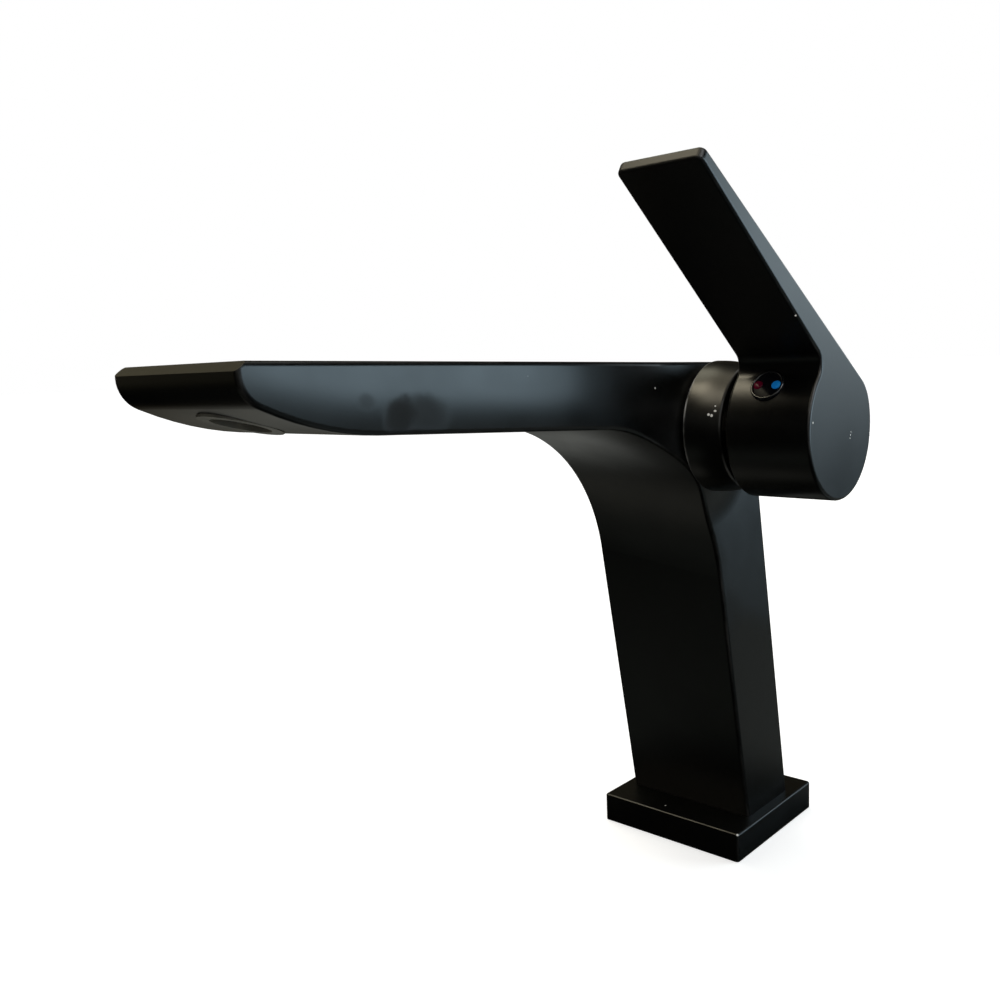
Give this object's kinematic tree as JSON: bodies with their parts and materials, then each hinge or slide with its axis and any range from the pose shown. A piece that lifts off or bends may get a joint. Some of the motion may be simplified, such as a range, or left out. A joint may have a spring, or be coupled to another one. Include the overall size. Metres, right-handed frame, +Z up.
{
  "type": "basin mixer tap",
  "caption": "Basin mixer tap: square base plate, leaning column, long flat spout with an aerator, and a side lever with a tapering blade that sets flow and temperature.",
  "frame": {"origin": "middle of the base plate's underside, where the tap stands on the basin", "axes": "+Z up, the spout points along -Y, the lever is on the +X side"},
  "size_m": [0.0865, 0.2131, 0.1962],
  "materials": {
    "black_paint": "satin black paint",
    "brass": "turned",
    "steel": "plain",
    "rubber": "matt",
    "ceramic": "lapped",
    "white_plastic": "moulded",
    "grey_plastic": "moulded",
    "black_plastic": "gloss",
    "red_mark": "gloss",
    "blue_mark": "gloss"
  },
  "bodies": {
    "tap": {"base_plate": "black_paint", "base_seal": "rubber", "inlet_block": "brass", "block_screws": "steel", "spout_body": "black_paint", "collar": "black_paint", "retaining_nut": "brass", "cartridge_housing": "white_plastic", "cartridge_base": "white_plastic", "port_seals": "rubber", "fixed_disc": "ceramic", "aerator_shell": "grey_plastic", "aerator_screen": "grey_plastic", "aerator_core": "grey_plastic", "aerator_seal": "rubber"},
    "rotor": {"rotor": "white_plastic", "rotor_seal": "rubber", "pivot_pin": "steel"},
    "lever": {"stem": "steel", "handle": "black_paint", "grub_screw": "steel", "index_plug": "black_plastic", "hot_mark": "red_mark", "cold_mark": "blue_mark"},
    "disc": {"moving_disc": "ceramic", "disc_carrier": "white_plastic"}
  },
  "joints": [
    {"name": "temperature_turn", "type": "hinge", "parent": "tap", "child": "rotor", "pos_m": [0, -0.03531, 0.1349], "axis": [1, 0, 0], "range_deg": [-45, 45]},
    {"name": "flow_tilt", "type": "hinge", "parent": "rotor", "child": "lever", "pos_m": [0.0272, -0.03531, 0.1349], "axis": [0, 0.6157, 0.788], "range_deg": [0, 22]},
    {"name": "disc_slide", "type": "slide", "parent": "rotor", "child": "disc", "axis": [0, -0.788, 0.6157], "range_m": [0, 0.0034]}
  ],
  "couplings": [
    {"joint": "disc_slide", "follows": "flow_tilt", "m_per_rad": 0.0087805}
  ]
}
